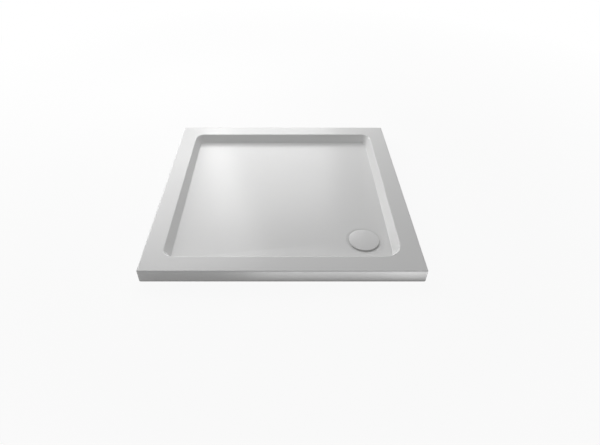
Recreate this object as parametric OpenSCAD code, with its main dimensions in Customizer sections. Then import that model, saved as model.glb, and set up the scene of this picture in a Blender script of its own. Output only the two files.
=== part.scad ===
// Low square shower tray: acrylic capping over a cast stone-resin core, with a 90 mm waste and trap.
// +Z is up, +X is right and +Y is back. The origin is the centre of the underside.

/* [Tray] */
// Side of the square tray
tray_side = 900; // [760:10:1100]
// Height of the tray
tray_h = 45; // [42:1:60]
// Thickness of the acrylic capping
skin_t = 2.5; // [2:0.5:3.5]
// Height of bare core below the capping's skirt
skirt_gap = 2.5; // [2:0.5:10]
// Width of the flat rim
rim_w = 66; // [45:1:90]
// Round of the outer top edge
edge_r = 4.5; // [4:0.5:6]
// Round of the upright corners
corner_r = 7; // [6.5:0.5:15]

/* [Basin] */
// Height of the basin's floor at its walls above the underside
floor_h = 13; // [11:0.5:16]
// How far the walls lean inwards from rim to floor
wall_run = 18; // [12:1:24]
// Round of the rim's inner edge
lip_r = 4; // [3.5:0.5:6]
// Hollow round where the walls meet the floor
foot_r = 4; // [3:0.5:8]
// Corner radius of the basin at the rim
basin_corner_r = 36; // [32:1:60]
// Corner radius of the basin beside the waste
waste_corner_r = 58; // [32:1:64]
// Fall of the floor from the walls to the waste
floor_fall = 2; // [1:0.5:4]
// Level border of the floor at the foot of the walls and round the waste
floor_border = 2.5; // [1:0.5:5]

/* [Waste position] */
// Centre of the waste from the tray's right side
waste_from_right = 173; // [165:1:260]
// Centre of the waste from the tray's front
waste_from_front = 176; // [165:1:260]
// Radius of the waste hole through the tray
waste_hole_r = 45; // [44.7:0.1:46]
// Gap between the waste flange and the edge of its recess
recess_gap = 0.5; // [0.5:0.25:2]
// Depth of that recess, which takes the flange and its washer
recess_depth = 3; // [2.8:0.1:3.5]
// Width of the dished slope round the recess
dish_w = 10.5; // [6:0.5:14]
// Drop of that slope
dish_drop = 1.5; // [1:0.25:2.5]
// Gap between the trap and the edge of the pocket for it in the underside
pocket_gap = 4; // [2:0.5:8]
// Depth of that pocket
pocket_depth = 1; // [0.5:0.1:1.5]

/* [Waste flange] */
// How far the flange reaches past the waste hole
flange_land = 5.5; // [5:0.5:8]
// How much wider the flange's bore is than the trap's neck
flange_bore_play = 0.3; // [0.2:0.1:0.5]
// Thickness of the flange's plate
flange_t = 2; // [1.8:0.1:2.5]
// Length of the flange's skirt below the plate
flange_skirt = 4; // [3:0.5:4.5]
// Thickness of the washer under the flange
flange_gasket_t = 1; // [0.8:0.1:1.5]
// How far that washer ends inside the flange's edge
flange_gasket_inset = 1; // [0.5:0.5:2]

/* [Flange screws] */
// Number of screws
screw_count = 3; // [2:1:6]
// Radius of a screw's shank
screw_r = 1.9; // [1.5:0.1:2]
// Radius of a screw's head
screw_head_r = 3.5; // [3:0.1:3.7]
// Height of the countersunk head
screw_head_h = 2; // [1.6:0.1:2.4]
// Full length of a screw
screw_len = 20; // [17:1:22]
// Width of the slots of the cross recess
screw_slot_w = 0.9; // [0.6:0.1:1.1]

/* [Trap] */
// Wall of the trap's neck, which takes the screws
neck_wall = 8.2; // [8:0.1:8.4]
// Gap between the neck's top and the flange's skirt
neck_gap = 1; // [0.5:0.25:1.5]
// How far the trap's own flange reaches past the waste hole
trap_land = 12; // [10:0.5:14]
// Thickness of that flange
trap_flange_t = 3; // [2.5:0.5:4]
// Thickness of the rubber ring on it
trap_gasket_t = 3; // [2:0.5:4]
// Outer radius of the bowl
bowl_r = 51; // [49:0.5:54]
// Wall of the bowl
bowl_wall = 2.5; // [2:0.5:3]
// Round of the bowl's bottom edge
bowl_round_r = 5; // [4:0.5:8]
// Clear height of water under the dip tube
bowl_clear = 12; // [8:1:20]
// Width of the ledge that carries the dip cup
ledge_w = 2.5; // [2:0.5:3]
// Thickness of that ledge
ledge_t = 4; // [3:0.5:5]

/* [Dip cup] */
// Depth of the cup's top below the tray's underside
cup_sink = 3; // [2:0.5:4]
// Running gap between the cup and the neck
cup_gap = 0.4; // [0.3:0.05:0.5]
// Height of the cup's rim
cup_rim_h = 8; // [7.5:0.5:10]
// Wall of the cup's rim
cup_rim_wall = 4.6; // [4.2:0.2:5]
// Width of the step that carries the strainer
cup_step = 2; // [1.5:0.5:3]
// Height of that step below the top of the rim
cup_step_depth = 6; // [5:0.5:6.5]
// Wall of the funnel and the dip tube
cup_wall = 2; // [1.5:0.25:2.5]
// Inner radius of the dip tube
dip_r = 17.5; // [14:0.5:20]
// Drop of the funnel
funnel_drop = 13; // [10:1:18]
// Depth of the water seal
water_seal = 30; // [20:1:50]
// Radius of the O-ring's section
cup_seal_r = 1.5; // [1.2:0.1:1.6]

/* [Outlet] */
// Radius of the bore that takes the waste pipe
pipe_bore_r = 20.2; // [20.1:0.05:20.5]
// Length of that bore up to its tapered mouth
pipe_bore_len = 22; // [18:1:30]
// Radius of the waterway behind the pipe's stop
waterway_r = 18; // [15:0.5:19]
// Radius of the spigot under its thread
spigot_r = 24.4; // [24.2:0.1:25]
// Height of the thread above the spigot
thread_h = 1; // [0.8:0.1:1.2]
// Distance between thread crests
thread_pitch = 3; // [2.5:0.5:4]
// Number of thread crests
thread_count = 5; // [3:1:6]
// Length of the tapered mouth
mouth_len = 4; // [3:0.5:5]
// Widening of the tapered mouth
mouth_flare = 3; // [2:0.5:3.2]
// Drop of the outlet's axis below the bowl's shoulder
outlet_drop = 23; // [22:1:30]
// Distance from the trap's axis to the pipe's stop
pipe_stop_x = 62; // [60:1:70]

/* [Outlet nut] */
// Outer radius of the nut
nut_r = 29; // [28.5:0.5:31]
// Length of the nut
nut_len = 28; // [24:1:30]
// Thickness of the nut's front wall
nut_front_t = 4; // [3:0.5:5]
// Number of grip ribs
nut_ribs = 12; // [8:1:18]
// Radius of a grip rib
nut_rib_r = 1.5; // [1:0.25:2]
// Gap between the nut and the thread
nut_gap = 0.4; // [0.3:0.05:0.5]
// Thickness of the slip washer
slip_washer_t = 1.2; // [1:0.1:1.5]
// Length of the seal in front of the mouth
seal_lip = 2.8; // [2:0.2:4]
// Gap between the pipe and the washer and nut that it passes through
pipe_gap = 0.3; // [0.2:0.05:0.5]

/* [Strainer] */
// Thickness of the plate
strainer_t = 2; // [1.5:0.25:2.5]
// Gap between the strainer and the cup
strainer_gap = 0.4; // [0.3:0.05:0.6]
// Height of the upturned edge above the plate
strainer_edge_h = 3; // [2:0.5:3.5]
// Radius of the hub
hub_r = 8; // [7:0.5:9]
// Height of the hub above the plate
hub_h = 6; // [5:0.5:8]
// Radius of the socket in the hub
hub_socket_r = 4.6; // [4.5:0.1:4.8]
// Radius of a drain hole
drain_hole_r = 2.1; // [1.8:0.1:2.3]
// Number of rings of drain holes
drain_rings = 3; // [2:1:3]
// Number of holes in the inner ring
drain_inner_count = 12; // [10:1:12]

/* [Cover] */
// How far the cover reaches past the recess of the flange
cover_lap = 0; // [0:0.5:3]
// Height of the gap for the water under the cover's edge
cover_gap = 3; // [3:0.5:8]
// Height of the cover's upright edge
cover_edge_h = 2.6; // [2.6:0.2:5]
// Rise of the dome above that edge
cover_rise = 3; // [2:0.5:5]
// Wall of the cover
cover_wall = 2.4; // [2:0.2:3]
// Radius of the stem
stem_r = 6.5; // [6:0.5:7]
// Radius of the plug at the stem's end
plug_r = 4.1; // [4:0.1:4.2]
// Length of that plug
plug_len = 5.4; // [5:0.2:6]
// Radius of the grip ring's section
grip_ring_r = 0.7; // [0.6:0.05:0.8]
// Gap between the grip ring and the strainer's socket
grip_gap = 0.15; // [0.1:0.05:0.2]
// Number of ribs under the cover
cover_ribs = 6; // [3:1:8]
// Thickness of a rib
cover_rib_t = 1.8; // [1.5:0.1:2.5]
// How far the ribs end above the cover's edge
cover_rib_rise = 1; // [0.5:0.25:2]

/* [Hidden] */

$fn = 96;
// How far a cut runs past what it cuts
over = 1;
// Play between parts that are clamped or glued together
fit_gap = 0.05;
// Play of the flange's skirt and the trap's neck in the waste hole
hole_play = 0.8;
// Step to which the basin section's points are rounded
point_step = 0.001;
// Segments of the corner rounds in the falling floor, and of the cover's wide dome
fall_fn = 32;
dome_fn = 720;

half_side = tray_side / 2;
half_basin = half_side - rim_w;
floor_edge_z = floor_h;
basin_depth = tray_h - floor_h;
floor_waste_z = floor_edge_z - floor_fall;
dish_z = floor_waste_z - dish_drop;
recess_z = dish_z - recess_depth;
waste_x = half_side - waste_from_right;
waste_y = waste_from_front - half_side;
corner_radii = [waste_corner_r, basin_corner_r, basin_corner_r, basin_corner_r];

// The wall leans by wall_angle, and both of its rounds are tangent to it
wall_angle = atan(wall_run / basin_depth);
wall_dir = [sin(wall_angle), cos(wall_angle)];
tangent_share = tan(45 - wall_angle / 2);

flange_top_z = recess_z + flange_gasket_t + flange_t;
flange_plate_z = recess_z + flange_gasket_t;
flange_skirt_z = flange_plate_z - flange_skirt;
collar_r = waste_hole_r - hole_play;
flange_r = waste_hole_r + flange_land;
flange_bore_r = collar_r - neck_wall + flange_bore_play;
recess_r = flange_r + recess_gap;
dish_r = recess_r + dish_w;
screw_circle_r = (flange_bore_r + collar_r) / 2;

neck_top_z = flange_skirt_z - neck_gap;
neck_bore_r = collar_r - neck_wall;
trap_flange_r = waste_hole_r + trap_land;
pocket_r = trap_flange_r + pocket_gap;
trap_flange_z = pocket_depth - trap_gasket_t;
cup_top_z = -cup_sink;
ledge_z = cup_top_z - cup_rim_h;
shoulder_z = ledge_z - ledge_t;
ledge_r = neck_bore_r - ledge_w;
outlet_z = shoulder_z - outlet_drop;
dip_bottom_z = outlet_z - waterway_r - water_seal;
bowl_bottom_z = dip_bottom_z - bowl_clear - bowl_wall;

cup_r = neck_bore_r - cup_gap;
cup_bore_r = cup_r - cup_rim_wall;
cup_step_z = cup_top_z - cup_step_depth;
cup_seal_z = ledge_z + cup_rim_h / 2;
cup_groove_r = cup_r - 2 * cup_seal_r + cup_gap / 4;
funnel_top_r = cup_bore_r - cup_step;

strainer_r = cup_bore_r - strainer_gap;
strainer_top_z = cup_step_z + strainer_t;
hub_top_z = strainer_top_z + hub_h;
drain_first_r = hub_r + 2 * drain_hole_r;
drain_last_r = strainer_r - strainer_t - 2 * drain_hole_r;

cover_r = recess_r + cover_lap;
cover_edge_z = flange_top_z + cover_gap;
plug_low_z = hub_top_z - plug_len;
grip_groove_r = hub_socket_r - grip_gap - 2 * grip_ring_r;
grip_ring_z = hub_top_z - plug_len / 2;
cover_shoulder_z = cover_edge_z + cover_edge_h;
cover_sphere_r = (cover_r * cover_r + cover_rise * cover_rise) / (2 * cover_rise);
cover_crown_z = cover_shoulder_z + cover_rise;

mouth_x = pipe_stop_x + pipe_bore_len;
spigot_end_x = mouth_x + mouth_len;
mouth_r = pipe_bore_r + mouth_flare;
thread_r = spigot_r + thread_h;
seal_front_x = spigot_end_x + seal_lip;
washer_front_x = seal_front_x + slip_washer_t;
nut_front_x = washer_front_x + nut_front_t;
nut_bore_r = thread_r + nut_gap;

// Moves to the waste's axis
module at_waste() {
    translate([waste_x, waste_y, 0]) children();
}

// Turns a section along Z into one along the outlet's axis
module along_outlet() {
    at_waste() translate([0, 0, outlet_z]) rotate([0, 90, 0]) children();
}

// Ring with square edges between two heights
module ring(outer_r, inner_r, low_z, high_z) {
    translate([0, 0, low_z]) difference() {
        cylinder(h = high_z - low_z, r = outer_r);
        translate([0, 0, -over]) cylinder(h = high_z - low_z + 2 * over, r = inner_r);
    }
}

// Sweeps a section round a square with its own radius at each corner. The section is drawn by
// tray_section or basin_section, and reaches from x = 0 to its outer edge.
module square_sweep(half, radii) {
    for (k = [0:3]) {
        near_r = radii[k];
        far_r = radii[(k + 1) % 4];
        rotate(90 * k) {
            translate([0, half - far_r, 0]) rotate([90, 0, 0])
                linear_extrude(2 * half - near_r - far_r) children(0);
            translate([half - near_r, near_r - half, 0]) rotate(-90) rotate_extrude(angle = 90)
                children(near_r == radii[0] ? 1 : 2);
        }
    }
}

// Upright section of the tray without its basin, shrunk by the thickness given
module tray_section(reach, shrink) {
    top_z = tray_h - shrink;
    outer_x = reach - shrink;
    round_r = max(edge_r - shrink, fit_gap);
    square([outer_x, top_z - round_r]);
    square([outer_x - round_r, top_z]);
    translate([outer_x - round_r, top_z - round_r]) intersection() {
        circle(round_r);
        square(round_r + over);
    }
}

module tray_block(shrink) {
    square_sweep(half_side, [corner_r, corner_r, corner_r, corner_r]) {
        tray_section(half_side, shrink);
        tray_section(corner_r, shrink);
        tray_section(corner_r, shrink);
    }
}

// Point moved to the nearest step, so that straight runs and corner turns share their edges
function on_grid(point) = [for (value = point) round(value / point_step) * point_step];

// Slice of a disc between the directions of two points on its rim
module disc_slice(centre, round_r, from_rim, to_rim) {
    intersection() {
        translate(centre) circle(round_r);
        polygon([centre, 2 * from_rim - centre, 2 * to_rim - centre]);
    }
}

// Upright section of the basin's air, grown by the thickness given. A straight leaning wall with a
// hollow round at its foot and a round lip at the rim.
module basin_section(reach, grow) {
    foot_round = foot_r + grow;
    lip_round = max(lip_r - grow, fit_gap);
    low_z = floor_edge_z - grow;
    top_z = tray_h - grow;
    lip_corner = [reach + grow * tangent_share, top_z];
    foot_corner = [lip_corner[0] - wall_run, low_z];
    foot_centre = on_grid(foot_corner + foot_round * [-tangent_share, 1]);
    lip_centre = on_grid(lip_corner + lip_round * [tangent_share, -1]);
    foot_on_floor = [foot_centre[0], low_z];
    foot_on_wall = on_grid(foot_corner + foot_round * tangent_share * wall_dir);
    lip_on_wall = on_grid(lip_corner - lip_round * tangent_share * wall_dir);
    lip_on_rim = [lip_centre[0], top_z];
    disc_slice(foot_centre, foot_round, foot_on_floor, foot_on_wall);
    difference() {
        polygon([
            [0, low_z], foot_on_floor, foot_centre, foot_on_wall, lip_on_wall, lip_centre,
            [lip_centre[0], tray_h + over], [0, tray_h + over]
        ]);
        disc_slice(lip_centre, lip_round, lip_on_wall, lip_on_rim);
    }
}

module basin_air(grow) {
    square_sweep(half_basin, corner_radii) {
        basin_section(half_basin, grow);
        basin_section(waste_corner_r, grow);
        basin_section(basin_corner_r, grow);
    }
    floor_fall_air(grow);
}

// The floor falls evenly from the foot of the walls to the edge of the waste recess
module floor_fall_air(grow) {
    foot_inset = wall_run + foot_r * tangent_share + floor_border;
    translate([0, 0, -grow]) hull() {
        for (k = [0:3]) {
            round_r = max(corner_radii[k] - foot_inset, over);
            from_centre = half_basin - foot_inset - round_r;
            rotate(90 * k) translate([from_centre, -from_centre, floor_edge_z])
                cylinder(h = over, r = round_r, $fn = fall_fn);
        }
        at_waste() translate([0, 0, floor_waste_z])
            cylinder(h = floor_fall, r = dish_r + floor_border, $fn = 2 * fall_fn);
    }
}

// The tray's shape, or the core's when shrunk by the thickness of the skin
module tray_shape(shrink) {
    difference() {
        tray_block(shrink);
        basin_air(shrink);
        at_waste() translate([0, 0, recess_z - shrink]) cylinder(h = tray_h, r = recess_r + shrink);
        at_waste() translate([0, 0, dish_z - shrink]) {
            cylinder(h = dish_drop, r1 = recess_r + shrink, r2 = dish_r + shrink);
            translate([0, 0, dish_drop]) cylinder(h = tray_h, r = dish_r + shrink);
        }
        at_waste() translate([0, 0, -over]) cylinder(h = tray_h, r = waste_hole_r);
    }
}

module acrylic_skin() {
    color("white") difference() {
        tray_shape(0);
        tray_shape(skin_t);
        translate([-tray_side, -tray_side, -over]) cube([2 * tray_side, 2 * tray_side, skirt_gap + over]);
    }
}

module resin_core() {
    color("gainsboro") difference() {
        union() {
            tray_shape(skin_t);
            intersection() {
                tray_shape(0);
                translate([-tray_side, -tray_side, 0]) cube([2 * tray_side, 2 * tray_side, skirt_gap]);
            }
        }
        at_waste() translate([0, 0, -over]) cylinder(h = pocket_depth + over, r = pocket_r);
    }
}

// One countersunk screw with its top at the height of the flange
module screw_shape(play) {
    translate([0, 0, flange_top_z - screw_len - play]) cylinder(h = screw_len + play, r = screw_r + play);
    translate([0, 0, flange_top_z - screw_head_h])
        cylinder(h = screw_head_h, r1 = screw_r + play, r2 = screw_head_r + play);
}

module at_screws() {
    for (i = [0:screw_count - 1]) rotate(360 * (i + 1 / 2) / screw_count)
        translate([screw_circle_r, 0, 0]) children();
}

module waste_flange() {
    color("white") at_waste() difference() {
        union() {
            ring(flange_r, flange_bore_r, flange_plate_z, flange_top_z);
            ring(collar_r, flange_bore_r, flange_skirt_z, flange_plate_z);
        }
        at_screws() screw_shape(fit_gap);
        at_screws() translate([0, 0, flange_top_z]) cylinder(h = over, r = screw_head_r + fit_gap);
    }
}

module flange_gasket() {
    color("dimgray") at_waste()
        ring(flange_r - flange_gasket_inset, waste_hole_r, recess_z, flange_plate_z);
}

module flange_screws() {
    color("silver") at_waste() at_screws() difference() {
        screw_shape(0);
        for (turn = [0, 90]) rotate(turn)
            translate([-screw_r, -screw_slot_w / 2, flange_top_z - screw_head_h / 2])
                cube([2 * screw_r, screw_slot_w, screw_head_h]);
    }
}

module trap_gasket() {
    color("black") at_waste() ring(trap_flange_r, collar_r + fit_gap, trap_flange_z, pocket_depth);
}

// Outside of the trap's moulding: neck, flange, bowl and spigot
module trap_outside() {
    at_waste() {
        translate([0, 0, shoulder_z]) cylinder(h = neck_top_z - shoulder_z, r = collar_r);
        translate([0, 0, trap_flange_z - trap_flange_t]) cylinder(h = trap_flange_t, r = trap_flange_r);
        rotate_extrude() bowl_section(bowl_r, bowl_bottom_z, shoulder_z + bowl_wall, bowl_round_r);
    }
    along_outlet() {
        cylinder(h = spigot_end_x, r = spigot_r);
        for (i = [0:thread_count - 1])
            translate([0, 0, spigot_end_x - (i + 1) * thread_pitch])
                cylinder(h = thread_pitch / 2, r = thread_r);
    }
}

// Half section of a round bowl with a rounded bottom edge
module bowl_section(outer_r, low_z, high_z, round_r) {
    translate([0, low_z + round_r]) square([outer_r, high_z - low_z - round_r]);
    translate([0, low_z]) square([outer_r - round_r, round_r]);
    translate([outer_r - round_r, low_z + round_r]) intersection() {
        circle(round_r);
        translate([0, -round_r - over]) square(round_r + over);
    }
}

module trap_body() {
    color("whitesmoke") difference() {
        trap_outside();
        at_waste() {
            rotate_extrude() bowl_section(
                bowl_r - bowl_wall, bowl_bottom_z + bowl_wall, shoulder_z, bowl_round_r - bowl_wall
            );
            translate([0, 0, shoulder_z - over]) cylinder(h = ledge_t + 2 * over, r = ledge_r);
            translate([0, 0, ledge_z]) cylinder(h = neck_top_z - ledge_z + over, r = neck_bore_r);
            at_screws() screw_shape(fit_gap / 2);
        }
        along_outlet() {
            cylinder(h = spigot_end_x, r = waterway_r);
            translate([0, 0, pipe_stop_x]) cylinder(h = pipe_bore_len, r = pipe_bore_r);
            translate([0, 0, mouth_x]) cylinder(h = mouth_len, r1 = pipe_bore_r, r2 = mouth_r);
            translate([0, 0, spigot_end_x]) cylinder(h = over, r = mouth_r);
        }
    }
}

module outlet_seal() {
    color("black") along_outlet() difference() {
        union() {
            translate([0, 0, mouth_x]) cylinder(h = mouth_len, r1 = pipe_bore_r, r2 = mouth_r);
            translate([0, 0, spigot_end_x]) cylinder(h = seal_lip, r = thread_r);
        }
        translate([0, 0, mouth_x - over]) cylinder(h = mouth_len + seal_lip + 2 * over, r = pipe_bore_r);
    }
}

module outlet_washer() {
    color("ivory") along_outlet() ring(thread_r, pipe_bore_r + pipe_gap, seal_front_x, washer_front_x);
}

module outlet_nut() {
    color("white") along_outlet() difference() {
        union() {
            translate([0, 0, nut_front_x - nut_len]) cylinder(h = nut_len, r = nut_r);
            for (i = [0:nut_ribs - 1]) rotate(360 * i / nut_ribs)
                translate([nut_r, 0, nut_front_x - nut_len]) cylinder(h = nut_len, r = nut_rib_r);
        }
        translate([0, 0, nut_front_x - nut_len - over])
            cylinder(h = nut_len - nut_front_t + over, r = nut_bore_r);
        translate([0, 0, washer_front_x - over])
            cylinder(h = nut_front_t + 2 * over, r = pipe_bore_r + pipe_gap);
    }
}

// Rim with a step for the strainer, then a funnel into the dip tube
module dip_cup() {
    tube_r = dip_r + cup_wall;
    funnel_z = ledge_z - funnel_drop;
    color("lightgray") at_waste() difference() {
        rotate_extrude() polygon([
            [cup_bore_r, cup_top_z], [cup_r, cup_top_z], [cup_r, ledge_z], [funnel_top_r + cup_wall, ledge_z],
            [tube_r, funnel_z], [tube_r, dip_bottom_z], [dip_r, dip_bottom_z], [dip_r, funnel_z + cup_wall],
            [funnel_top_r, cup_step_z], [cup_bore_r, cup_step_z]
        ]);
        ring(cup_r + over, cup_groove_r, cup_seal_z - cup_seal_r, cup_seal_z + cup_seal_r);
    }
}

module dip_cup_seal() {
    color("black") at_waste() translate([0, 0, cup_seal_z]) rotate_extrude()
        translate([cup_groove_r + cup_seal_r, 0]) circle(cup_seal_r);
}

module hair_strainer() {
    color("lightgray") at_waste() difference() {
        union() {
            translate([0, 0, cup_step_z]) cylinder(h = strainer_t, r = strainer_r);
            ring(strainer_r, strainer_r - strainer_t, cup_step_z, strainer_top_z + strainer_edge_h);
            translate([0, 0, cup_step_z]) cylinder(h = strainer_t + hub_h, r = hub_r);
        }
        translate([0, 0, strainer_top_z]) cylinder(h = hub_h + over, r = hub_socket_r);
        for (j = [0:drain_rings - 1]) {
            ring_r = drain_first_r + (drain_last_r - drain_first_r) * j / (drain_rings - 1);
            count = floor(drain_inner_count * (j + 2) / 2);
            for (i = [0:count - 1]) rotate(360 * i / count) translate([ring_r, 0, cup_step_z - over])
                cylinder(h = strainer_t + 2 * over, r = drain_hole_r);
        }
    }
}

// Half section of the cover's outside above the height given, lowered by the wall given
module cover_section(low_z, wall) {
    intersection() {
        translate([0, low_z]) square([cover_r - wall, cover_crown_z - low_z]);
        translate([0, cover_crown_z - cover_sphere_r - wall]) circle(cover_sphere_r, $fn = dome_fn);
    }
}

module waste_cover() {
    color("white") at_waste() {
        rotate_extrude() difference() {
            cover_section(cover_edge_z, 0);
            cover_section(cover_edge_z - over, cover_wall);
        }
        translate([0, 0, hub_top_z]) cylinder(h = cover_crown_z - cover_wall / 2 - hub_top_z, r = stem_r);
        difference() {
            translate([0, 0, plug_low_z]) cylinder(h = plug_len, r = plug_r);
            ring(plug_r + over, grip_groove_r, grip_ring_z - grip_ring_r, grip_ring_z + grip_ring_r);
        }
        for (i = [0:cover_ribs - 1]) rotate(360 * i / cover_ribs) rotate([90, 0, 0])
            translate([0, 0, -cover_rib_t / 2]) linear_extrude(cover_rib_t) rib_section();
    }
}

// Side view of one rib: from the stem to the upright edge, under the dome
module rib_section() {
    intersection() {
        translate([stem_r / 2, cover_edge_z + cover_rib_rise])
            square([cover_r - cover_wall / 2 - stem_r / 2, cover_edge_h + cover_rise]);
        translate([0, cover_crown_z - cover_sphere_r - cover_wall / 2]) circle(cover_sphere_r, $fn = dome_fn);
    }
}

module cover_grip_ring() {
    color("black") at_waste() translate([0, 0, grip_ring_z]) rotate_extrude()
        translate([grip_groove_r + grip_ring_r, 0]) circle(grip_ring_r);
}

acrylic_skin();
resin_core();
waste_flange();
flange_gasket();
flange_screws();
trap_gasket();
trap_body();
outlet_seal();
outlet_washer();
outlet_nut();
dip_cup();
dip_cup_seal();
hair_strainer();
waste_cover();
cover_grip_ring();
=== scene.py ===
import bpy
import bmesh
import math
from mathutils import Matrix, Vector


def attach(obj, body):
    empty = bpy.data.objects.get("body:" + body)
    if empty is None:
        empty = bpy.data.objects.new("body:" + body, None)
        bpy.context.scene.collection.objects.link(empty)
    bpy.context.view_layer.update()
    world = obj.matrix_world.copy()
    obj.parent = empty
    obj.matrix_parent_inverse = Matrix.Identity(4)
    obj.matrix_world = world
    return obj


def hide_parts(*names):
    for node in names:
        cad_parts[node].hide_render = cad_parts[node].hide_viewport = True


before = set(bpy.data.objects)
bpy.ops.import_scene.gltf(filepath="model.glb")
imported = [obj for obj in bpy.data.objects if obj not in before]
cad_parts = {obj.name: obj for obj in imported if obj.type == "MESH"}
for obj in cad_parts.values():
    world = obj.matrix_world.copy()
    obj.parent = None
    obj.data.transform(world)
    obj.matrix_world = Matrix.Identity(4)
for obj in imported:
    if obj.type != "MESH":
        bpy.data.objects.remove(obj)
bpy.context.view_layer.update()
print("stage: packed model loaded,", len(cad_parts), "nodes")

# lengths are in metres, and the angles in the dictionaries in degrees
mergeDistance = 1e-6


class Wire:  # one socket of a node tree, so that shader maths reads as maths
    def __init__(self, tree, socket=None):
        self.tree = tree
        self.socket = socket

    def make(self, kind, settings=None, inputs=None, output=0):
        node = self.tree.nodes.new(kind)
        for name, value in (settings or {}).items():
            setattr(node, name, value)
        for name, value in (inputs or {}).items():
            if isinstance(value, Wire):
                self.tree.links.new(value.socket, node.inputs[name])
            else:
                node.inputs[name].default_value = value
        return Wire(self.tree, node.outputs[output]) if len(node.outputs) else node

    def maths(self, operation, first, second):
        return self.make("ShaderNodeMath", {"operation": operation}, {0: first, 1: second})

    def __add__(self, other):
        return self.maths("ADD", self, other)

    def __radd__(self, other):
        return self.maths("ADD", other, self)

    def __sub__(self, other):
        return self.maths("SUBTRACT", self, other)

    def __rsub__(self, other):
        return self.maths("SUBTRACT", other, self)

    def __mul__(self, other):
        return self.maths("MULTIPLY", self, other)

    def __rmul__(self, other):
        return self.maths("MULTIPLY", other, self)


def startMaterial(name):
    material = bpy.data.materials.new(name)
    material.use_nodes = True
    material.node_tree.nodes.clear()
    return material, Wire(material.node_tree)


def objectPlace(start):
    return start.make("ShaderNodeTexCoord", output="Object")


def stretchedPlace(start, place, scale):
    return start.make("ShaderNodeMapping", inputs={"Vector": place, "Scale": scale})


def noise(start, place, scale, detail, rough=0.5):
    return start.make("ShaderNodeTexNoise", inputs={"Vector": place, "Scale": scale, "Detail": detail,
                                                    "Roughness": rough})


def cells(start, place, scale, output=0):
    # output 0 is the distance to the nearest cell's middle, and 1 a random colour for each cell
    return start.make("ShaderNodeTexVoronoi", inputs={"Vector": place, "Scale": scale}, output=output)


def spread(start, value, low, high, outLow, outHigh):
    return start.make("ShaderNodeMapRange", inputs={"Value": value, "From Min": low, "From Max": high,
                                                    "To Min": outLow, "To Max": outHigh})


def variedRough(start, value, look):
    # a noise lies mostly between 0.3 and 0.7, and there it moves the roughness by roughPlay down or up
    lowest = look["rough"] - look["roughPlay"]
    highest = look["rough"] + look["roughPlay"]
    return spread(start, value, 0.3, 0.7, lowest, highest)


def blendColours(start, factor, first, second):
    # a colour is a tuple or a wire
    # a colour mix takes its colours at inputs 6 and 7, and output 2 is its result
    first, second = [(*tone, 1) if isinstance(tone, tuple) else tone for tone in (first, second)]
    return start.make("ShaderNodeMix", {"data_type": "RGBA"}, {0: factor, 6: first, 7: second}, output=2)


def finishMaterial(start, colour, rough, height, fixed=None):
    # height is in metres, so the bump has a distance and a strength of 1
    bump = start.make("ShaderNodeBump", inputs={"Height": height, "Distance": 1.0, "Strength": 1.0})
    values = {"Base Color": colour, "Roughness": rough, "Normal": bump}
    values.update(fixed or {})
    surface = start.make("ShaderNodeBsdfPrincipled", inputs=values)
    start.make("ShaderNodeOutputMaterial", inputs={"Surface": surface})


# Gloss acrylic: very even white, a slight orange peel, long soft waves of the formed sheet, wiped patches
def glossAcrylic(name, look):
    material, start = startMaterial(name)
    place = objectPlace(start)
    cloud = noise(start, place, look["cloudScale"], detail=4.0)
    peel = noise(start, place, look["peelScale"], detail=2.0)
    wave = noise(start, place, look["waveScale"], detail=1.0)
    wipe = noise(start, place, look["wipeScale"], detail=5.0)
    colour = blendColours(start, cloud, look["colour"], look["shade"])
    height = peel * look["peelHeight"] + wave * look["waveHeight"]
    finishMaterial(start, colour, variedRough(start, wipe, look), height, {"IOR": look["ior"]})
    return material


# Cast stone resin: pale filler with grains of marble and a few air pits, darkened with painted shade
def castStone(name, look):
    material, start = startMaterial(name)
    place = objectPlace(start)
    cloud = noise(start, place, look["cloudScale"], detail=5.0)
    grain = cells(start, place, look["grainScale"], output=1)
    grainTone = start.make("ShaderNodeSeparateColor", inputs={"Color": grain})
    grainMask = spread(start, grainTone, look["grainFrom"], 1.0, 0.0, look["grainShare"])
    pitMask = spread(start, cells(start, place, look["pitScale"]), 0.0, look["pitReach"], 1.0, 0.0)
    filler = blendColours(start, cloud, look["colour"], look["shade"])
    speckled = blendColours(start, grainMask, filler, look["grain"])
    # the pit colour is painted shade inside the air pits, laid over their dip in the bump
    colour = blendColours(start, pitMask * look["pitShare"], speckled, look["pit"])
    unevenness = noise(start, place, look["roughScale"], detail=4.0)
    height = unevenness * look["roughHeight"] - pitMask * look["pitHeight"]
    finishMaterial(start, colour, variedRough(start, cloud, look), height)
    return material


# Moulded plastic: fine grain from the mould, and flow marks that change tint and gloss a little
def mouldedPlastic(name, look):
    material, start = startMaterial(name)
    place = objectPlace(start)
    flow = noise(start, stretchedPlace(start, place, look["flow"]), look["flowScale"], detail=3.0)
    grain = noise(start, place, look["grainScale"], detail=2.0)
    colour = blendColours(start, flow, look["colour"], look["shade"])
    finishMaterial(start, colour, variedRough(start, flow, look), grain * look["grainHeight"])
    return material


# Moulded rubber: dark and dull, with a dusty bloom in places that is duller still
def darkRubber(name, look):
    material, start = startMaterial(name)
    place = objectPlace(start)
    cloud = noise(start, place, look["bloomScale"], detail=6.0, rough=0.6)
    bloom = spread(start, cloud, look["bloomFrom"], look["bloomTo"], 0.0, 1.0)
    grain = noise(start, place, look["grainScale"], detail=3.0)
    colour = blendColours(start, bloom, look["colour"], look["bloom"])
    rough = spread(start, bloom, 0.0, 1.0, look["rough"], look["rough"] + look["bloomRough"])
    finishMaterial(start, colour, rough, grain * look["grainHeight"])
    return material


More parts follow.
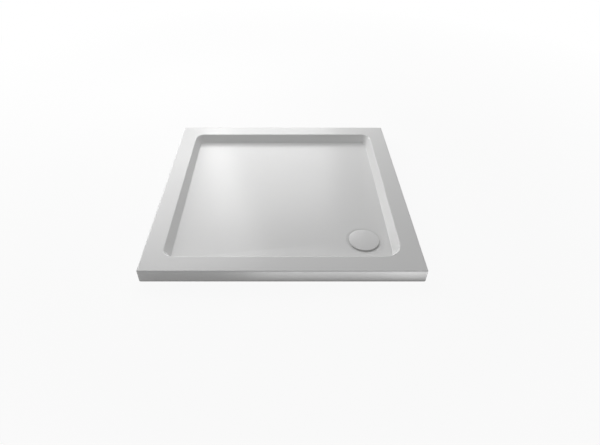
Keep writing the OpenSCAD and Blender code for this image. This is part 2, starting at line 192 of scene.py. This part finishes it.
# Turned and tumbled stainless steel, with fine marks that run round it
def turnedSteel(name, look):
    material, start = startMaterial(name)
    place = stretchedPlace(start, objectPlace(start), look["flow"])
    scratch = noise(start, place, look["scratchScale"], detail=4.0, rough=0.7)
    colour = blendColours(start, scratch, look["colour"], look["shade"])
    finishMaterial(start, colour, variedRough(start, scratch, look), scratch * look["scratchHeight"],
                   {"Metallic": 1.0})
    return material


def filletPath(corners, steps, support=0.0):
    # corners are (across, height, round), where the first and the last have no round
    # a round becomes an arc of so many steps, with a point beyond each of its ends where support is given
    path = []
    for index, (across, height, roundRadius) in enumerate(corners):
        if roundRadius <= 0:
            path.append((across, height))
            continue
        here = Vector((across, height))
        back = (Vector(corners[index - 1][:2]) - here).normalized()
        ahead = (Vector(corners[index + 1][:2]) - here).normalized()
        halfAngle = back.angle(ahead) / 2
        reach = roundRadius / math.tan(halfAngle)
        centre = here + (back + ahead).normalized() * roundRadius / math.sin(halfAngle)
        first = here + back * reach - centre
        last = here + ahead * reach - centre
        turn = first.angle_signed(last)
        if support:
            path.append(tuple(here + back * (reach + support)))
        for step in range(steps + 1):
            spoke = first.copy()
            spoke.rotate(Matrix.Rotation(-turn * step / steps, 2))
            path.append(tuple(centre + spoke))
        if support:
            path.append(tuple(here + ahead * (reach + support)))
    return path


def finishPiece(mesh, name, body, material, node, sharpAngle):
    data = bpy.data.meshes.new(name)
    mesh.to_mesh(data)
    mesh.free()
    data.shade_smooth()
    data.set_sharp_from_angle(angle=math.radians(sharpAngle))
    data.materials.append(material)
    piece = bpy.data.objects.new(name, data)
    bpy.context.scene.collection.objects.link(piece)
    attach(piece, body)
    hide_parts(node)
    return piece


# the hole, the recess for the flange and the dish round it, in the front right of the floor
waste = dict(
    x=0.277, y=-0.274, holeRadius=0.045, recessRadius=0.051, recessDepth=0.003, recessRound=0.0006,
    dishWidth=0.0105, dishDrop=0.0015, dishRound=0.004, arcSteps=5)
wasteCentre = Vector((waste["x"], waste["y"], 0))

tray = dict(
    side=0.9, height=0.045, sheet=0.00245, skirtFoot=0.0025, rim=0.066, edgeRound=0.0045, cornerRound=0.007,
    lipRound=0.004, wallRun=0.018, footRound=0.004, basinCorner=0.036, wasteCorner=0.058,
    floorHeight=0.013, floorFall=0.002, floorBorder=0.0025,
    fallSteps=(0.02, 0.08, 0.2, 0.4, 0.6, 0.8, 0.92, 0.98, 1.0),  # shares of the way to the dish
    cornerSteps=12, sideSteps=24, arcSteps=7, support=0.0007, sharpAngle=42,
    finish=dict(
        colour=(0.865, 0.865, 0.86), shade=(0.85, 0.851, 0.848), cloudScale=6.0, peelScale=420.0,
        peelHeight=0.000012, waveScale=7.0, waveHeight=0.00012, wipeScale=24.0, rough=0.22,
        roughPlay=0.015, ior=1.49))


def squareLoop(reach, rounds, height, shares):
    # corners run front right, back right, back left, front left
    # shares place the points of the side after each corner
    arcs = []
    for index in range(4):
        cornerRound = rounds[index]
        signX = 1 if index < 2 else -1
        signY = 1 if index in (1, 2) else -1
        centre = Vector((signX * (reach - cornerRound), signY * (reach - cornerRound), height))
        arc = []
        for step in range(tray["cornerSteps"] + 1):
            angle = math.radians(90 * (index - 1) + 90 * step / tray["cornerSteps"])
            arc.append(centre + cornerRound * Vector((math.cos(angle), math.sin(angle), 0)))
        arcs.append(arc)
    loop = []
    for index in range(4):
        loop += arcs[index]
        start, end = arcs[index][-1], arcs[(index + 1) % 4][0]
        loop += [start.lerp(end, share) for share in shares[index]]
    return loop


def sideShares(reach, rounds):
    # side points lie at even angles as seen from the waste, so that the fall of the floor stays smooth
    shares = []
    for index in range(4):
        following = rounds[(index + 1) % 4]
        distance, offset = [(reach - waste["x"], waste["y"]), (reach - waste["y"], -waste["x"]),
                            (reach + waste["x"], -waste["y"]), (reach + waste["y"], waste["x"])][index]
        low = -(reach - rounds[index]) - offset
        high = (reach - following) - offset
        lowAngle, highAngle = math.atan(low / distance), math.atan(high / distance)
        count = tray["sideSteps"]
        angles = [lowAngle + (highAngle - lowAngle) * (step + 1) / (count + 1) for step in range(count)]
        shares.append([(distance * math.tan(angle) - low) / (high - low) for angle in angles])
    return shares


def wallRings():
    # from the foot of the skirt over the rim and down the basin's wall to the level border of the floor
    half = tray["side"] / 2
    basin = half - tray["rim"]
    wallAngle = math.atan(tray["wallRun"] / (tray["height"] - tray["floorHeight"]))
    floorReach = basin - tray["wallRun"] - tray["footRound"] * math.tan(math.pi / 4 - wallAngle / 2)
    innerReach = floorReach - tray["floorBorder"]
    basinRounds = [tray["wasteCorner"], tray["basinCorner"], tray["basinCorner"], tray["basinCorner"]]
    section = filletPath([(half, tray["skirtFoot"], 0), (half, tray["height"], tray["edgeRound"]),
                          (basin, tray["height"], tray["lipRound"]),
                          (basin - tray["wallRun"], tray["floorHeight"], tray["footRound"]),
                          (innerReach, tray["floorHeight"], 0)], tray["arcSteps"], tray["support"])
    floorRounds = [cornerRound - (basin - innerReach) for cornerRound in basinRounds]
    shares = sideShares(innerReach, floorRounds)
    middle = (half + basin) / 2
    rings = []
    for reach, height in section:
        if reach > middle:
            rounds = [tray["cornerRound"] - (half - reach)] * 4
        else:
            rounds = [cornerRound - (basin - reach) for cornerRound in basinRounds]
        rings.append(squareLoop(reach, rounds, height, shares))
    return rings


def ease(share):
    # from 0 to 1 with a level start and end
    return share * share * (3 - 2 * share)


def floorRings(outline):
    # from the level border down to the dish round the waste, then the recess that takes the flange
    wasteHeight = tray["floorHeight"] - tray["floorFall"]
    dishHeight = wasteHeight - waste["dishDrop"]
    recessHeight = dishHeight - waste["recessDepth"]
    dishRadius = waste["recessRadius"] + waste["dishWidth"]
    rays = [(point - wasteCentre).xy.normalized() for point in outline]

    def circleLoop(radius, height):
        return [Vector((waste["x"] + radius * ray.x, waste["y"] + radius * ray.y, height)) for ray in rays]

    rings = []
    edge = circleLoop(dishRadius + tray["floorBorder"], wasteHeight)
    for share in tray["fallSteps"]:
        ring = [point.lerp(target, share) for point, target in zip(outline, edge)]
        for point in ring:
            point.z = tray["floorHeight"] - tray["floorFall"] * ease(share)
        rings.append(ring)
    dish = filletPath([(dishRadius + tray["floorBorder"], wasteHeight, 0),
                       (dishRadius, wasteHeight, waste["dishRound"]),
                       (waste["recessRadius"], dishHeight, waste["recessRound"]),
                       (waste["recessRadius"], recessHeight, waste["recessRound"]),
                       (waste["holeRadius"], recessHeight, 0)], waste["arcSteps"])
    return rings + [circleLoop(radius, height) for radius, height in dish[1:]]


def growLoop(mesh, loop, positions):
    # extrudes the loop, and gives the new loop's vertices their positions in the same order
    order = {vert: index for index, vert in enumerate(loop)}
    edges = [mesh.edges.get((loop[index - 1], loop[index])) for index in range(len(loop))]
    grown = bmesh.ops.extrude_edge_only(mesh, edges=edges)["geom"]
    fresh = [None] * len(loop)
    for vert in (item for item in grown if isinstance(item, bmesh.types.BMVert)):
        for edge in vert.link_edges:
            partner = edge.other_vert(vert)
            if partner in order:
                fresh[order[partner]] = vert
    for vert, position in zip(fresh, positions):
        vert.co = position
    return fresh


def makeTraySkin():
    rings = wallRings()
    rings += floorRings(rings[-1])
    mesh = bmesh.new()
    bmesh.ops.create_circle(mesh, cap_ends=False, segments=len(rings[0]), radius=tray["side"] / 2)
    mesh.verts.ensure_lookup_table()
    loop = list(mesh.verts)
    for vert, position in zip(loop, rings[0]):
        vert.co = position
    for ring in rings[1:]:
        loop = growLoop(mesh, loop, ring)
    bmesh.ops.recalc_face_normals(mesh, faces=mesh.faces)
    if sum(face.normal.z * face.calc_area() for face in mesh.faces) < 0:  # rim and floor have to face up
        bmesh.ops.reverse_faces(mesh, faces=mesh.faces)
    bmesh.ops.solidify(mesh, geom=mesh.faces[:], thickness=tray["sheet"])
    finishPiece(mesh, "tray_shell", "tray", glossAcrylic("white_acrylic", tray["finish"]), "acrylic_skin",
                tray["sharpAngle"])


makeTraySkin()
print("stage: tray shell made")


core = dict(
    finish=dict(
        colour=(0.66, 0.645, 0.61), shade=(0.56, 0.55, 0.52), cloudScale=9.0, rough=0.72, roughPlay=0.06,
        grain=(0.80, 0.79, 0.76), grainScale=420.0, grainFrom=0.55, grainShare=0.7,
        # pit is the painted shade colour that darkens the air pits
        pit=(0.30, 0.29, 0.27), pitScale=130.0, pitReach=0.16, pitShare=0.6, pitHeight=0.0005,
        roughScale=260.0, roughHeight=0.0003))
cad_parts["resin_core"].material_slots[0].material = castStone("stone_resin", core["finish"])
print("stage: stone resin core finished")


cover = dict(
    radius=0.051, crown=0.0181, shoulder=0.0151, edge=0.0125, wall=0.0024,
    shoulderRound=0.0012, edgeRound=0.0006, innerRound=0.0003,
    stemRadius=0.0065, stemRound=0.0015, hubTop=-0.00097, hubRound=0.0004,
    plugRadius=0.0041, plugFoot=-0.0064, plugRound=0.0002, tipRound=0.0007,
    grooveRadius=0.00305, grooveTop=-0.003, grooveFoot=-0.0044,
    ribs=6, ribThickness=0.0018, ribFoot=0.0135, ribEnd=0.0487, ribRound=0.0004, ribSink=0.6,
    domeSteps=14, arcSteps=4, segments=128, sharpAngle=38,
    finish=dict(
        colour=(0.90, 0.90, 0.896), shade=(0.89, 0.89, 0.885), cloudScale=30.0, peelScale=900.0,
        peelHeight=0.000006, waveScale=40.0, waveHeight=0.00001, wipeScale=90.0, rough=0.2, roughPlay=0.03,
        ior=1.49))


def domeHeight(radius, below=0.0):
    # height of the cover's spherical top, or of the sphere that lies so far below it
    rise = cover["crown"] - cover["shoulder"]
    domeRadius = (cover["radius"] ** 2 + rise ** 2) / (2 * rise)
    return cover["crown"] - domeRadius + math.sqrt((domeRadius - below) ** 2 - radius ** 2)


def domeArc(reach, below=0.0):
    # section points of the dome between its middle and its reach, from the inside out
    radii = [reach * step / cover["domeSteps"] for step in range(1, cover["domeSteps"])]
    return [(radius, domeHeight(radius, below), 0) for radius in radii]


def coverSection():
    # over the dome, round its edge, back along its inner face, then down the stem and the grooved plug
    wall = cover["wall"]
    inner = cover["radius"] - wall
    besideStem = cover["stemRadius"] + cover["stemRound"]
    corners = [(0, cover["crown"], 0)]
    corners += domeArc(cover["radius"])
    corners += [(cover["radius"], cover["shoulder"], cover["shoulderRound"]),
                (cover["radius"], cover["edge"], cover["edgeRound"]),
                (inner, cover["edge"], cover["edgeRound"]),
                (inner, domeHeight(inner, wall), cover["innerRound"])]
    corners += [corner for corner in reversed(domeArc(inner, wall)) if corner[0] > besideStem]
    corners += [(cover["stemRadius"], domeHeight(cover["stemRadius"], wall), cover["stemRound"]),
                (cover["stemRadius"], cover["hubTop"], cover["hubRound"]),
                (cover["plugRadius"], cover["hubTop"], cover["plugRound"]),
                (cover["plugRadius"], cover["grooveTop"], cover["plugRound"]),
                (cover["grooveRadius"], cover["grooveTop"], cover["plugRound"]),
                (cover["grooveRadius"], cover["grooveFoot"], cover["plugRound"]),
                (cover["plugRadius"], cover["grooveFoot"], cover["plugRound"]),
                (cover["plugRadius"], cover["plugFoot"], cover["tipRound"]),
                (0, cover["plugFoot"], 0)]
    return filletPath(corners, cover["arcSteps"])


def turnedSolid(path, segments):
    # spins a half section, drawn as (radius, height), and puts its axis into the waste's
    mesh = bmesh.new()
    verts = [mesh.verts.new((radius, 0, height)) for radius, height in path]
    edges = [mesh.edges.new(pair) for pair in zip(verts, verts[1:])]
    bmesh.ops.spin(mesh, geom=verts + edges, cent=(0, 0, 0), axis=(0, 0, 1), dvec=(0, 0, 0),
                   angle=2 * math.pi, steps=segments, use_merge=True)
    bmesh.ops.remove_doubles(mesh, verts=mesh.verts, dist=mergeDistance)
    bmesh.ops.recalc_face_normals(mesh, faces=mesh.faces)
    bmesh.ops.translate(mesh, verts=mesh.verts, vec=wasteCentre)
    return mesh


def addRib(mesh, turn):
    # a web from inside the stem to the edge's inner face, with its top sunk into the dome's wall
    rib = bmesh.ops.create_cube(mesh, size=1.0)["verts"]
    for vert in rib:
        vert.co.x = cover["ribEnd"] if vert.co.x > 0 else cover["stemRadius"] / 2
        vert.co.y *= cover["ribThickness"]
        top = domeHeight(vert.co.x, cover["wall"] * cover["ribSink"])
        vert.co.z = top if vert.co.z > 0 else cover["ribFoot"]
    low = {vert for vert in rib if abs(vert.co.z - cover["ribFoot"]) < mergeDistance}
    foot = [edge for edge in mesh.edges if low.issuperset(edge.verts)]
    rounded = bmesh.ops.bevel(mesh, geom=foot, offset=cover["ribRound"], offset_type="OFFSET", segments=2,
                              profile=0.5, affect="EDGES", material=-1)["verts"]
    verts = [vert for vert in set(rib) | set(rounded) if vert.is_valid]
    bmesh.ops.rotate(mesh, verts=verts, cent=(0, 0, 0), matrix=Matrix.Rotation(turn, 3, "Z"))
    bmesh.ops.translate(mesh, verts=verts, vec=wasteCentre)


def makeCover():
    mesh = turnedSolid(coverSection(), cover["segments"])
    for index in range(cover["ribs"]):
        addRib(mesh, math.tau * index / cover["ribs"])
    finishPiece(mesh, "cover_dome", "cover", glossAcrylic("cover_plastic", cover["finish"]), "waste_cover",
                cover["sharpAngle"])


makeCover()
print("stage: waste cover made")


blackRubber = dict(
    colour=(0.040, 0.040, 0.043), bloom=(0.085, 0.085, 0.085), bloomScale=60.0, bloomFrom=0.45,
    bloomTo=0.75, bloomRough=0.2, grainScale=1300.0, grainHeight=0.00005, rough=0.52)
ringRubber = dict(blackRubber, rough=0.5)

# the other pieces keep the CAD piece's shape, with its sharp edges rounded
hiddenPieces = [
    dict(node="waste_flange", name="flange_ring", body="tray", slot="flange_plastic", edgeRound=0.0004,
         kind=glossAcrylic, finish=dict(
             colour=(0.80, 0.80, 0.79), shade=(0.77, 0.77, 0.76), cloudScale=30.0, peelScale=1200.0,
             peelHeight=0.000006, waveScale=60.0, waveHeight=0.00001, wipeScale=120.0, rough=0.33,
             roughPlay=0.04, ior=1.49)),
    dict(node="flange_gasket", name="flange_washer", body="tray", slot="soft_washer", edgeRound=0.00015,
         kind=darkRubber, finish=dict(
             colour=(0.19, 0.19, 0.195), bloom=(0.25, 0.25, 0.25), bloomScale=70.0, bloomFrom=0.45,
             bloomTo=0.75, bloomRough=0.2, grainScale=1400.0, grainHeight=0.00006, rough=0.62)),
    dict(node="flange_screws", name="countersunk_screws", body="tray", slot="stainless_screws",
         edgeRound=0.00012, kind=turnedSteel, finish=dict(
             colour=(0.62, 0.62, 0.61), shade=(0.50, 0.50, 0.495), flow=(1, 1, 9), scratchScale=700.0,
             scratchHeight=0.00002, rough=0.39, roughPlay=0.1)),
    dict(node="trap_gasket", name="trap_sealing_ring", body="tray", slot="trap_rubber", edgeRound=0.0004,
         kind=darkRubber, finish=blackRubber),
    dict(node="trap_body", name="trap_moulding", body="tray", slot="trap_plastic", edgeRound=0.0004,
         kind=mouldedPlastic, finish=dict(
             colour=(0.78, 0.78, 0.765), shade=(0.73, 0.73, 0.71), flow=(1, 1, 0.25), flowScale=40.0,
             grainScale=1500.0, grainHeight=0.00003, rough=0.42, roughPlay=0.06)),
    dict(node="outlet_seal", name="outlet_cone_seal", body="tray", slot="outlet_rubber", edgeRound=0.0003,
         kind=darkRubber, finish=blackRubber),
    dict(node="outlet_washer", name="outlet_slip_washer", body="tray", slot="slip_washer", edgeRound=0.0002,
         kind=mouldedPlastic, finish=dict(
             colour=(0.74, 0.72, 0.66), shade=(0.69, 0.67, 0.61), flow=(1, 1, 0.25), flowScale=90.0,
             grainScale=1800.0, grainHeight=0.00002, rough=0.5, roughPlay=0.05)),
    dict(node="outlet_nut", name="outlet_ribbed_nut", body="tray", slot="nut_plastic", edgeRound=0.0005,
         kind=mouldedPlastic, finish=dict(
             colour=(0.80, 0.80, 0.79), shade=(0.75, 0.75, 0.735), flow=(0.25, 1, 1), flowScale=70.0,
             grainScale=1700.0, grainHeight=0.00003, rough=0.4, roughPlay=0.06)),
    dict(node="dip_cup", name="cup_moulding", body="cup", slot="cup_plastic", edgeRound=0.0004,
         kind=mouldedPlastic, finish=dict(
             colour=(0.43, 0.44, 0.45), shade=(0.38, 0.39, 0.40), flow=(1, 1, 0.25), flowScale=50.0,
             grainScale=1500.0, grainHeight=0.00003, rough=0.44, roughPlay=0.07)),
    dict(node="hair_strainer", name="strainer_plate", body="strainer", slot="strainer_plastic",
         edgeRound=0.00025, kind=mouldedPlastic, finish=dict(
             colour=(0.43, 0.44, 0.45), shade=(0.39, 0.40, 0.41), flow=(1, 1, 1), flowScale=60.0,
             grainScale=1600.0, grainHeight=0.00003, rough=0.42, roughPlay=0.07)),
]
softening = dict(flatAngle=0.5, sharpAngle=30, segments=2, shadeAngle=38)


def softenedCopy(node, edgeRound):
    # the CAD piece with its doubles merged, its flat faces joined and its sharp edges rounded
    mesh = bmesh.new()
    mesh.from_mesh(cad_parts[node].data)
    bmesh.ops.remove_doubles(mesh, verts=mesh.verts, dist=mergeDistance)
    bmesh.ops.dissolve_limit(mesh, angle_limit=math.radians(softening["flatAngle"]), verts=mesh.verts,
                             edges=mesh.edges)
    sharpAngle = math.radians(softening["sharpAngle"])
    shared = (edge for edge in mesh.edges if len(edge.link_faces) == 2)
    sharp = [edge for edge in shared if edge.calc_face_angle(0) > sharpAngle]
    bmesh.ops.bevel(mesh, geom=sharp, offset=edgeRound, offset_type="OFFSET", profile=0.5,
                    segments=softening["segments"], affect="EDGES", clamp_overlap=True, material=-1)
    bmesh.ops.remove_doubles(mesh, verts=mesh.verts, dist=mergeDistance)
    return mesh


def makeHiddenPiece(setting):
    mesh = softenedCopy(setting["node"], setting["edgeRound"])
    material = setting["kind"](setting["slot"], setting["finish"])
    piece = finishPiece(mesh, setting["name"], setting["body"], material, setting["node"],
                        softening["shadeAngle"])
    evenFaces = piece.modifiers.new("even_faces", "WEIGHTED_NORMAL")  # flat faces then shade flat
    evenFaces.keep_sharp = True


for setting in hiddenPieces:
    makeHiddenPiece(setting)
for nodeName, slotName in (("dip_cup_seal", "cup_rubber"), ("cover_grip_ring", "grip_rubber")):
    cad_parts[nodeName].material_slots[0].material = darkRubber(slotName, ringRubber)
print("stage: trap pieces finished")


# the floor has an opening for the trap, openingInset smaller than the tray on each side
studio = dict(
    floorSide=14.0, openingInset=0.006, floorGrey=0.8, floorWhite=0.92, whiteFrom=0.9, whiteTo=2.6,
    worldLight=0.265)
lamps = [
    dict(name="backWindow", place=(0.0, 2.6, 1.8), aim=(0, 0, 0), size=(1.8, 1.8), power=5.0),
    dict(name="backPanel", place=(-0.1, 1.6, 1.0), aim=(0, 0, 0), size=(1.0, 0.8), power=4.2),
    dict(name="leftBackPanel", place=(-2.1, 1.75, 0.95), aim=(0, 0, 0), size=(1.8, 1.8), power=27.0),
    dict(name="cornerPanel", place=(-0.65, 0.95, 0.95), aim=(-0.1, 0, 0), size=(0.9, 0.9), power=5.4),
    dict(name="rightPanel", place=(2.4, 0.4, 1.2), aim=(0, 0, 0), size=(1.2, 1.2), power=2.2),
    dict(name="floorGlow", place=(0.15, -0.85, 0.004), aim=(0.15, -0.85, 1), size=(0.5, 0.7), power=1.3),
    dict(name="floorGlowRight", place=(0.6, -0.85, 0.004), aim=(0.6, -0.85, 1), size=(0.5, 0.7), power=1.8),
    dict(name="underFill", place=(0.25, -0.25, -1.3), aim=(0, 0, 0), size=(0.8, 0.8), power=7.0),
]
shot = dict(
    place=(0.0062, -1.3931, 1.0546), tilt=49.3, lens=26.89, sensor=36.0, shiftX=0.0261, clipStart=0.01)


def whiteForCamera(start):
    # 1 for the rays that a viewer sees by, straight, in a gloss or through something clear
    # 0 for the rays that carry light from surface to surface
    path = start.make("ShaderNodeLightPath").socket.node
    seen = start.maths("MAXIMUM", Wire(start.tree, path.outputs["Is Camera Ray"]),
                       Wire(start.tree, path.outputs["Is Glossy Ray"]))
    return start.maths("MAXIMUM", seen, Wire(start.tree, path.outputs["Is Transmission Ray"]))


def floorMaterial():
    material, start = startMaterial("studio_floor")
    seen = whiteForCamera(start)
    grey = (studio["floorGrey"], studio["floorGrey"], studio["floorGrey"], 1)
    lit = start.make("ShaderNodeBsdfDiffuse", inputs={"Color": grey})
    glow = start.make("ShaderNodeEmission", inputs={"Color": (1, 1, 1, 1), "Strength": 1.0})
    # the floor grows evenly white away from the tray, so that it runs into the background without an edge
    away = start.make("ShaderNodeVectorMath", {"operation": "LENGTH"}, {0: objectPlace(start)}, output=1)
    share = spread(start, away, studio["whiteFrom"], studio["whiteTo"], studio["floorWhite"], 1.0)
    pale = start.make("ShaderNodeMixShader", inputs={0: seen * share, 1: lit, 2: glow})
    # from below it is clear, so that the trap can be seen
    clear = start.make("ShaderNodeBsdfTransparent")
    side = start.make("ShaderNodeNewGeometry").socket.node
    below = Wire(start.tree, side.outputs["Backfacing"])
    surface = start.make("ShaderNodeMixShader", inputs={0: below, 1: pale, 2: clear})
    start.make("ShaderNodeOutputMaterial", inputs={"Surface": surface})
    return material


def makeFloor():
    mesh = bmesh.new()
    half = tray["side"] / 2 - studio["openingInset"]
    bmesh.ops.create_grid(mesh, x_segments=1, y_segments=1, size=studio["floorSide"] / 2)
    bmesh.ops.inset_region(mesh, faces=mesh.faces[:], thickness=studio["floorSide"] / 2 - half,
                           use_boundary=True, use_even_offset=True)
    middle = min(mesh.faces, key=lambda face: face.calc_center_median().length)
    bmesh.ops.delete(mesh, geom=[middle], context="FACES")
    data = bpy.data.meshes.new("studio_floor")
    mesh.to_mesh(data)
    mesh.free()
    data.materials.append(floorMaterial())
    floor = bpy.data.objects.new("studio_floor", data)
    bpy.context.scene.collection.objects.link(floor)


def background(start, strength):
    return start.make("ShaderNodeBackground", inputs={"Color": (1, 1, 1, 1), "Strength": strength})


def makeWorld():
    world = bpy.data.worlds.new("studio_world")
    world.use_nodes = True
    world.node_tree.nodes.clear()
    start = Wire(world.node_tree)
    seen = whiteForCamera(start)
    light = background(start, studio["worldLight"])
    white = background(start, 1.0)
    surface = start.make("ShaderNodeMixShader", inputs={0: seen, 1: light, 2: white})
    start.make("ShaderNodeOutputWorld", inputs={"Surface": surface})
    bpy.context.scene.world = world


def makeLamp(setting):
    light = bpy.data.lights.new(setting["name"], "AREA")
    light.shape = "RECTANGLE"
    light.size, light.size_y = setting["size"]
    light.energy = setting["power"]
    lamp = bpy.data.objects.new(setting["name"], light)
    lamp.location = setting["place"]
    lamp.rotation_euler = (Vector(setting["aim"]) - lamp.location).to_track_quat("-Z", "Y").to_euler()
    lamp.visible_camera = False
    bpy.context.scene.collection.objects.link(lamp)


def makeCamera():
    lens = bpy.data.cameras.new("photo_camera")
    lens.lens = shot["lens"]
    lens.sensor_width = shot["sensor"]
    lens.sensor_fit = "HORIZONTAL"
    lens.shift_x = shot["shiftX"]
    lens.clip_start = shot["clipStart"]
    camera = bpy.data.objects.new("photo_camera", lens)
    camera.location = shot["place"]
    camera.rotation_euler = (math.radians(shot["tilt"]), 0, 0)
    bpy.context.scene.collection.objects.link(camera)
    bpy.context.scene.camera = camera
    bpy.context.scene.view_settings.view_transform = "Standard"


makeFloor()
makeWorld()
for setting in lamps:
    makeLamp(setting)
makeCamera()
print("stage: floor, light and camera set")
